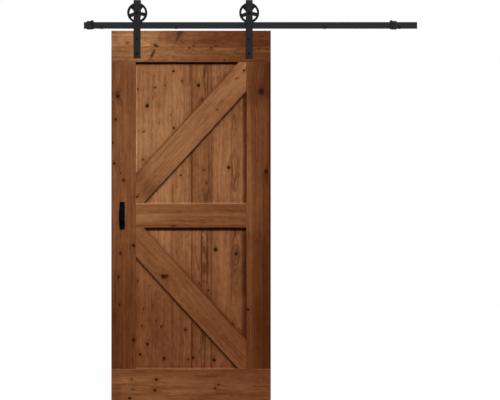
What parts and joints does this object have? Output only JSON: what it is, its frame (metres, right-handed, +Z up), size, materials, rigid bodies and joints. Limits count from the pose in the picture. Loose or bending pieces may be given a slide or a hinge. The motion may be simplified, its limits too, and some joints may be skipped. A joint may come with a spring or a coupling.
{
  "type": "sliding barn door with track",
  "caption": "Framed plank door with diagonal braces and a pull, hung from a flat wall track on spoked grooved wheels, with bumpered end stops.",
  "frame": {"origin": "on the wall plane, at the middle of the row of wall screws", "axes": "+X to the right along the track, -Y out of the wall to the viewer, +Z up"},
  "size_m": [1.914, 0.13, 2.3112],
  "materials": {
    "stained_planks": "brown stained knotty pine, satin",
    "stained_frame": "brown stained knotty pine, satin",
    "black_bar": "black powder coat, fine texture",
    "black_wheel": "black powder coat over cast steel",
    "black_fixing": "black oxide",
    "bright_steel": "ground steel",
    "stop_rubber": "moulded black rubber",
    "pull_black": "black powder coat"
  },
  "bodies": {
    "track": {"track_rail": "black_bar", "wall_spacers": "black_bar", "lag_screws": "black_fixing", "left_stop_clamp": "black_bar", "right_stop_clamp": "black_bar", "left_stop_bumper": "stop_rubber", "right_stop_bumper": "stop_rubber", "stop_screws": "black_fixing"},
    "door": {"plank_1": "stained_planks", "plank_2": "stained_planks", "plank_3": "stained_planks", "plank_4": "stained_planks", "plank_5": "stained_planks", "plank_6": "stained_planks", "plank_7": "stained_planks", "plank_8": "stained_planks", "top_rail": "stained_frame", "middle_rail": "stained_frame", "bottom_rail": "stained_frame", "left_stile": "stained_frame", "right_stile": "stained_frame", "upper_brace": "stained_frame", "lower_brace": "stained_frame", "pull_handle": "pull_black", "pull_screws": "black_fixing", "left_hanger_strap": "black_bar", "right_hanger_strap": "black_bar", "hanger_bolts": "black_fixing", "hanger_nuts": "black_fixing", "axle_bolts": "black_fixing", "axle_nuts": "black_fixing", "axle_sleeves": "bright_steel"},
    "left_roller": {"left_wheel": "black_wheel", "left_bearing": "bright_steel"},
    "right_roller": {"right_wheel": "black_wheel", "right_bearing": "bright_steel"}
  },
  "joints": [
    {"name": "door_slide", "type": "slide", "parent": "track", "child": "door", "axis": [1, 0, 0], "range_m": [-0.2151, 0.7721]},
    {"name": "left_roll", "type": "hinge", "parent": "door", "child": "left_roller", "pos_m": [-0.6504, -0.033, 0.0723], "axis": [0, 1, 0], "range_deg": [-240, 865]},
    {"name": "right_roll", "type": "hinge", "parent": "door", "child": "right_roller", "pos_m": [-0.0076, -0.033, 0.0723], "axis": [0, 1, 0], "range_deg": [-240, 865]}
  ],
  "couplings": [
    {"joint": "left_roll", "follows": "door_slide", "rad_per_m": 18.868},
    {"joint": "right_roll", "follows": "door_slide", "rad_per_m": 18.868}
  ]
}
